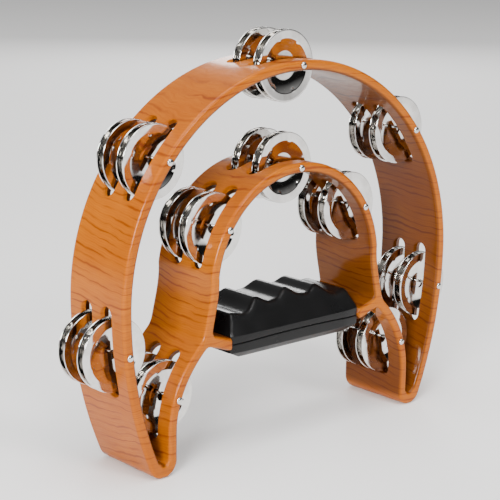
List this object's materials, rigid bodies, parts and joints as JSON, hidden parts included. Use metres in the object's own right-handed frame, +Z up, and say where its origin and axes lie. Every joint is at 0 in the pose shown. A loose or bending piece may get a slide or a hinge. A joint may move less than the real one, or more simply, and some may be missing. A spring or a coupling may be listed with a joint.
{
  "type": "tambourine",
  "caption": "Half-moon hand tambourine: slotted wood-look moulded frame with an inner arch, a black finger grip across the legs, and pairs of cupped metal jingles sliding on nails.",
  "frame": {"origin": "on the surface the feet stand on, midway between the two feet and midway through the depth of the frame", "axes": "+X runs from the left leg to the right leg, +Y from the front rim (with the nail heads) to the back rim, +Z up to the top of the arch"},
  "size_m": [0.276, 0.0493, 0.2314],
  "materials": {
    "wood_look": "glossy moulded plastic with a printed orange-brown wood grain",
    "grip": "satin black moulded plastic",
    "nail": "bright domed nail heads and plain shanks",
    "jingle": "polished nickel-plated steel sheet"
  },
  "bodies": {
    "root": {"frame": "wood_look", "grip_upper": "grip", "grip_lower": "grip", "nail_outer_top": "nail", "nail_left_outer_high": "nail", "nail_right_outer_high": "nail", "nail_left_outer_low": "nail", "nail_right_outer_low": "nail", "nail_inner_top": "nail", "nail_left_inner_side": "nail", "nail_right_inner_side": "nail", "nail_left_leg": "nail", "nail_right_leg": "nail"},
    "jingle_outer_top_1": {"jingle_outer_top_1": "jingle"},
    "jingle_outer_top_2": {"jingle_outer_top_2": "jingle"},
    "jingle_outer_top_3": {"jingle_outer_top_3": "jingle"},
    "jingle_outer_top_4": {"jingle_outer_top_4": "jingle"},
    "jingle_left_outer_high_1": {"jingle_left_outer_high_1": "jingle"},
    "jingle_left_outer_high_2": {"jingle_left_outer_high_2": "jingle"},
    "jingle_left_outer_high_3": {"jingle_left_outer_high_3": "jingle"},
    "jingle_left_outer_high_4": {"jingle_left_outer_high_4": "jingle"},
    "jingle_right_outer_high_1": {"jingle_right_outer_high_1": "jingle"},
    "jingle_right_outer_high_2": {"jingle_right_outer_high_2": "jingle"},
    "jingle_right_outer_high_3": {"jingle_right_outer_high_3": "jingle"},
    "jingle_right_outer_high_4": {"jingle_right_outer_high_4": "jingle"},
    "jingle_left_outer_low_1": {"jingle_left_outer_low_1": "jingle"},
    "jingle_left_outer_low_2": {"jingle_left_outer_low_2": "jingle"},
    "jingle_left_outer_low_3": {"jingle_left_outer_low_3": "jingle"},
    "jingle_left_outer_low_4": {"jingle_left_outer_low_4": "jingle"},
    "jingle_right_outer_low_1": {"jingle_right_outer_low_1": "jingle"},
    "jingle_right_outer_low_2": {"jingle_right_outer_low_2": "jingle"},
    "jingle_right_outer_low_3": {"jingle_right_outer_low_3": "jingle"},
    "jingle_right_outer_low_4": {"jingle_right_outer_low_4": "jingle"},
    "jingle_inner_top_1": {"jingle_inner_top_1": "jingle"},
    "jingle_inner_top_2": {"jingle_inner_top_2": "jingle"},
    "jingle_inner_top_3": {"jingle_inner_top_3": "jingle"},
    "jingle_inner_top_4": {"jingle_inner_top_4": "jingle"},
    "jingle_left_inner_side_1": {"jingle_left_inner_side_1": "jingle"},
    "jingle_left_inner_side_2": {"jingle_left_inner_side_2": "jingle"},
    "jingle_left_inner_side_3": {"jingle_left_inner_side_3": "jingle"},
    "jingle_left_inner_side_4": {"jingle_left_inner_side_4": "jingle"},
    "jingle_right_inner_side_1": {"jingle_right_inner_side_1": "jingle"},
    "jingle_right_inner_side_2": {"jingle_right_inner_side_2": "jingle"},
    "jingle_right_inner_side_3": {"jingle_right_inner_side_3": "jingle"},
    "jingle_right_inner_side_4": {"jingle_right_inner_side_4": "jingle"},
    "jingle_left_leg_1": {"jingle_left_leg_1": "jingle"},
    "jingle_left_leg_2": {"jingle_left_leg_2": "jingle"},
    "jingle_left_leg_3": {"jingle_left_leg_3": "jingle"},
    "jingle_left_leg_4": {"jingle_left_leg_4": "jingle"},
    "jingle_right_leg_1": {"jingle_right_leg_1": "jingle"},
    "jingle_right_leg_2": {"jingle_right_leg_2": "jingle"},
    "jingle_right_leg_3": {"jingle_right_leg_3": "jingle"},
    "jingle_right_leg_4": {"jingle_right_leg_4": "jingle"}
  },
  "joints": [
    {"name": "slide_outer_top_1", "type": "slide", "parent": "root", "child": "jingle_outer_top_1", "axis": [0, 1, 0], "range_m": [-0.002, 0]},
    {"name": "slide_outer_top_2", "type": "slide", "parent": "root", "child": "jingle_outer_top_2", "axis": [0, 1, 0], "range_m": [0, 0.0006]},
    {"name": "slide_outer_top_3", "type": "slide", "parent": "root", "child": "jingle_outer_top_3", "axis": [0, 1, 0], "range_m": [-0.002, 0]},
    {"name": "slide_outer_top_4", "type": "slide", "parent": "root", "child": "jingle_outer_top_4", "axis": [0, 1, 0], "range_m": [0, 0.0006]},
    {"name": "slide_left_outer_high_1", "type": "slide", "parent": "root", "child": "jingle_left_outer_high_1", "axis": [0, 1, 0], "range_m": [-0.002, 0]},
    {"name": "slide_left_outer_high_2", "type": "slide", "parent": "root", "child": "jingle_left_outer_high_2", "axis": [0, 1, 0], "range_m": [0, 0.0006]},
    {"name": "slide_left_outer_high_3", "type": "slide", "parent": "root", "child": "jingle_left_outer_high_3", "axis": [0, 1, 0], "range_m": [-0.002, 0]},
    {"name": "slide_left_outer_high_4", "type": "slide", "parent": "root", "child": "jingle_left_outer_high_4", "axis": [0, 1, 0], "range_m": [0, 0.0006]},
    {"name": "slide_right_outer_high_1", "type": "slide", "parent": "root", "child": "jingle_right_outer_high_1", "axis": [0, 1, 0], "range_m": [-0.002, 0]},
    {"name": "slide_right_outer_high_2", "type": "slide", "parent": "root", "child": "jingle_right_outer_high_2", "axis": [0, 1, 0], "range_m": [0, 0.0006]},
    {"name": "slide_right_outer_high_3", "type": "slide", "parent": "root", "child": "jingle_right_outer_high_3", "axis": [0, 1, 0], "range_m": [-0.002, 0]},
    {"name": "slide_right_outer_high_4", "type": "slide", "parent": "root", "child": "jingle_right_outer_high_4", "axis": [0, 1, 0], "range_m": [0, 0.0006]},
    {"name": "slide_left_outer_low_1", "type": "slide", "parent": "root", "child": "jingle_left_outer_low_1", "axis": [0, 1, 0], "range_m": [-0.002, 0]},
    {"name": "slide_left_outer_low_2", "type": "slide", "parent": "root", "child": "jingle_left_outer_low_2", "axis": [0, 1, 0], "range_m": [0, 0.0006]},
    {"name": "slide_left_outer_low_3", "type": "slide", "parent": "root", "child": "jingle_left_outer_low_3", "axis": [0, 1, 0], "range_m": [-0.002, 0]},
    {"name": "slide_left_outer_low_4", "type": "slide", "parent": "root", "child": "jingle_left_outer_low_4", "axis": [0, 1, 0], "range_m": [0, 0.0006]},
    {"name": "slide_right_outer_low_1", "type": "slide", "parent": "root", "child": "jingle_right_outer_low_1", "axis": [0, 1, 0], "range_m": [-0.002, 0]},
    {"name": "slide_right_outer_low_2", "type": "slide", "parent": "root", "child": "jingle_right_outer_low_2", "axis": [0, 1, 0], "range_m": [0, 0.0006]},
    {"name": "slide_right_outer_low_3", "type": "slide", "parent": "root", "child": "jingle_right_outer_low_3", "axis": [0, 1, 0], "range_m": [-0.002, 0]},
    {"name": "slide_right_outer_low_4", "type": "slide", "parent": "root", "child": "jingle_right_outer_low_4", "axis": [0, 1, 0], "range_m": [0, 0.0006]},
    {"name": "slide_inner_top_1", "type": "slide", "parent": "root", "child": "jingle_inner_top_1", "axis": [0, 1, 0], "range_m": [-0.002, 0]},
    {"name": "slide_inner_top_2", "type": "slide", "parent": "root", "child": "jingle_inner_top_2", "axis": [0, 1, 0], "range_m": [0, 0.0006]},
    {"name": "slide_inner_top_3", "type": "slide", "parent": "root", "child": "jingle_inner_top_3", "axis": [0, 1, 0], "range_m": [-0.002, 0]},
    {"name": "slide_inner_top_4", "type": "slide", "parent": "root", "child": "jingle_inner_top_4", "axis": [0, 1, 0], "range_m": [0, 0.0006]},
    {"name": "slide_left_inner_side_1", "type": "slide", "parent": "root", "child": "jingle_left_inner_side_1", "axis": [0, 1, 0], "range_m": [-0.002, 0]},
    {"name": "slide_left_inner_side_2", "type": "slide", "parent": "root", "child": "jingle_left_inner_side_2", "axis": [0, 1, 0], "range_m": [0, 0.0006]},
    {"name": "slide_left_inner_side_3", "type": "slide", "parent": "root", "child": "jingle_left_inner_side_3", "axis": [0, 1, 0], "range_m": [-0.002, 0]},
    {"name": "slide_left_inner_side_4", "type": "slide", "parent": "root", "child": "jingle_left_inner_side_4", "axis": [0, 1, 0], "range_m": [0, 0.0006]},
    {"name": "slide_right_inner_side_1", "type": "slide", "parent": "root", "child": "jingle_right_inner_side_1", "axis": [0, 1, 0], "range_m": [-0.002, 0]},
    {"name": "slide_right_inner_side_2", "type": "slide", "parent": "root", "child": "jingle_right_inner_side_2", "axis": [0, 1, 0], "range_m": [0, 0.0006]},
    {"name": "slide_right_inner_side_3", "type": "slide", "parent": "root", "child": "jingle_right_inner_side_3", "axis": [0, 1, 0], "range_m": [-0.002, 0]},
    {"name": "slide_right_inner_side_4", "type": "slide", "parent": "root", "child": "jingle_right_inner_side_4", "axis": [0, 1, 0], "range_m": [0, 0.0006]},
    {"name": "slide_left_leg_1", "type": "slide", "parent": "root", "child": "jingle_left_leg_1", "axis": [0, 1, 0], "range_m": [-0.002, 0]},
    {"name": "slide_left_leg_2", "type": "slide", "parent": "root", "child": "jingle_left_leg_2", "axis": [0, 1, 0], "range_m": [0, 0.0006]},
    {"name": "slide_left_leg_3", "type": "slide", "parent": "root", "child": "jingle_left_leg_3", "axis": [0, 1, 0], "range_m": [-0.002, 0]},
    {"name": "slide_left_leg_4", "type": "slide", "parent": "root", "child": "jingle_left_leg_4", "axis": [0, 1, 0], "range_m": [0, 0.0006]},
    {"name": "slide_right_leg_1", "type": "slide", "parent": "root", "child": "jingle_right_leg_1", "axis": [0, 1, 0], "range_m": [-0.002, 0]},
    {"name": "slide_right_leg_2", "type": "slide", "parent": "root", "child": "jingle_right_leg_2", "axis": [0, 1, 0], "range_m": [0, 0.0006]},
    {"name": "slide_right_leg_3", "type": "slide", "parent": "root", "child": "jingle_right_leg_3", "axis": [0, 1, 0], "range_m": [-0.002, 0]},
    {"name": "slide_right_leg_4", "type": "slide", "parent": "root", "child": "jingle_right_leg_4", "axis": [0, 1, 0], "range_m": [0, 0.0006]}
  ]
}
